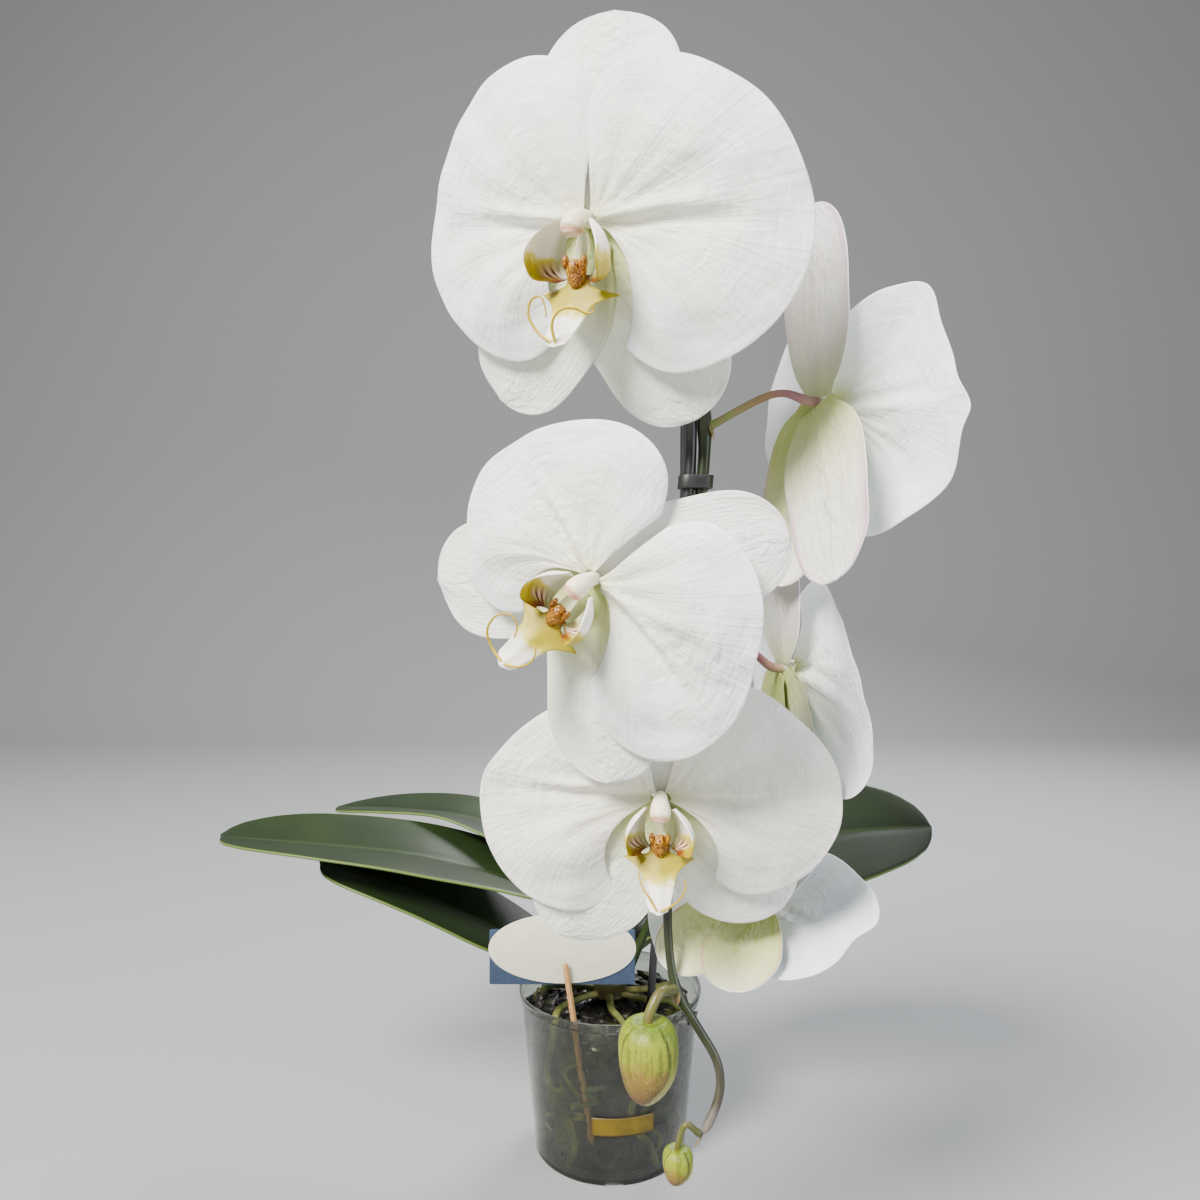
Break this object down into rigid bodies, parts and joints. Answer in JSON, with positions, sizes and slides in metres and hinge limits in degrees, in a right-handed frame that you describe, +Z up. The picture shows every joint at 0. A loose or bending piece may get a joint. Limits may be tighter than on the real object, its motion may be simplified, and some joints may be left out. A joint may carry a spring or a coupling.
{
  "type": "potted moth orchid",
  "caption": "White moth orchid (Phalaenopsis) in a clear nursery pot, its flower spike bent over a wire hoop and hanging down in front with flowers and buds.",
  "frame": {"origin": "centre of the pot's flat underside, on the surface that it stands on", "axes": "+Z up; -Y toward the viewer, the side on which the flowers hang; +X to the viewer's right"},
  "size_m": [0.479, 0.3879, 0.5903],
  "materials": {
    "pot": "clear, slightly milky",
    "bark": "rough, moist",
    "crown": "satin, grey-green roots",
    "leaf": "satin",
    "spike": "satin",
    "stalk": "satin",
    "bud": "satin",
    "petal": "velvety, translucent",
    "sepal": "velvety, translucent",
    "lip": "waxy",
    "hoop": "black, half gloss",
    "clip": "satin",
    "stick": "bare",
    "oval": "matte",
    "card": "satin",
    "label": "satin"
  },
  "bodies": {
    "root": {"pot": "pot", "bark": "bark", "crown_and_roots": "crown", "leaf_1": "leaf", "leaf_2": "leaf", "leaf_3": "leaf", "leaf_4": "leaf", "leaf_5": "leaf", "hoop": "hoop", "flower_spike": "spike", "clip_lower": "clip", "clip_front": "clip", "flower_1_stalk_and_column": "stalk", "flower_1_dorsal_sepal": "sepal", "flower_1_sepal_left": "sepal", "flower_1_sepal_right": "sepal", "flower_1_petal_left": "petal", "flower_1_petal_right": "petal", "flower_1_lip": "lip", "flower_2_stalk_and_column": "stalk", "flower_2_dorsal_sepal": "sepal", "flower_2_sepal_left": "sepal", "flower_2_sepal_right": "sepal", "flower_2_petal_left": "petal", "flower_2_petal_right": "petal", "flower_2_lip": "lip", "flower_3_stalk_and_column": "stalk", "flower_3_dorsal_sepal": "sepal", "flower_3_sepal_left": "sepal", "flower_3_sepal_right": "sepal", "flower_3_petal_left": "petal", "flower_3_petal_right": "petal", "flower_3_lip": "lip", "flower_4_stalk_and_column": "stalk", "flower_4_dorsal_sepal": "sepal", "flower_4_sepal_left": "sepal", "flower_4_sepal_right": "sepal", "flower_4_petal_left": "petal", "flower_4_petal_right": "petal", "flower_4_lip": "lip", "flower_5_stalk_and_column": "stalk", "flower_5_dorsal_sepal": "sepal", "flower_5_sepal_left": "sepal", "flower_5_sepal_right": "sepal", "flower_5_petal_left": "petal", "flower_5_petal_right": "petal", "flower_5_lip": "lip", "flower_6_stalk_and_column": "stalk", "flower_6_dorsal_sepal": "sepal", "flower_6_sepal_left": "sepal", "flower_6_sepal_right": "sepal", "flower_6_petal_left": "petal", "flower_6_petal_right": "petal", "flower_6_lip": "lip", "bud_1": "bud", "bud_2": "bud", "wooden_stick": "stick", "oval_card": "oval", "backing_card": "card", "pot_label": "label"}
  },
  "joints": []
}
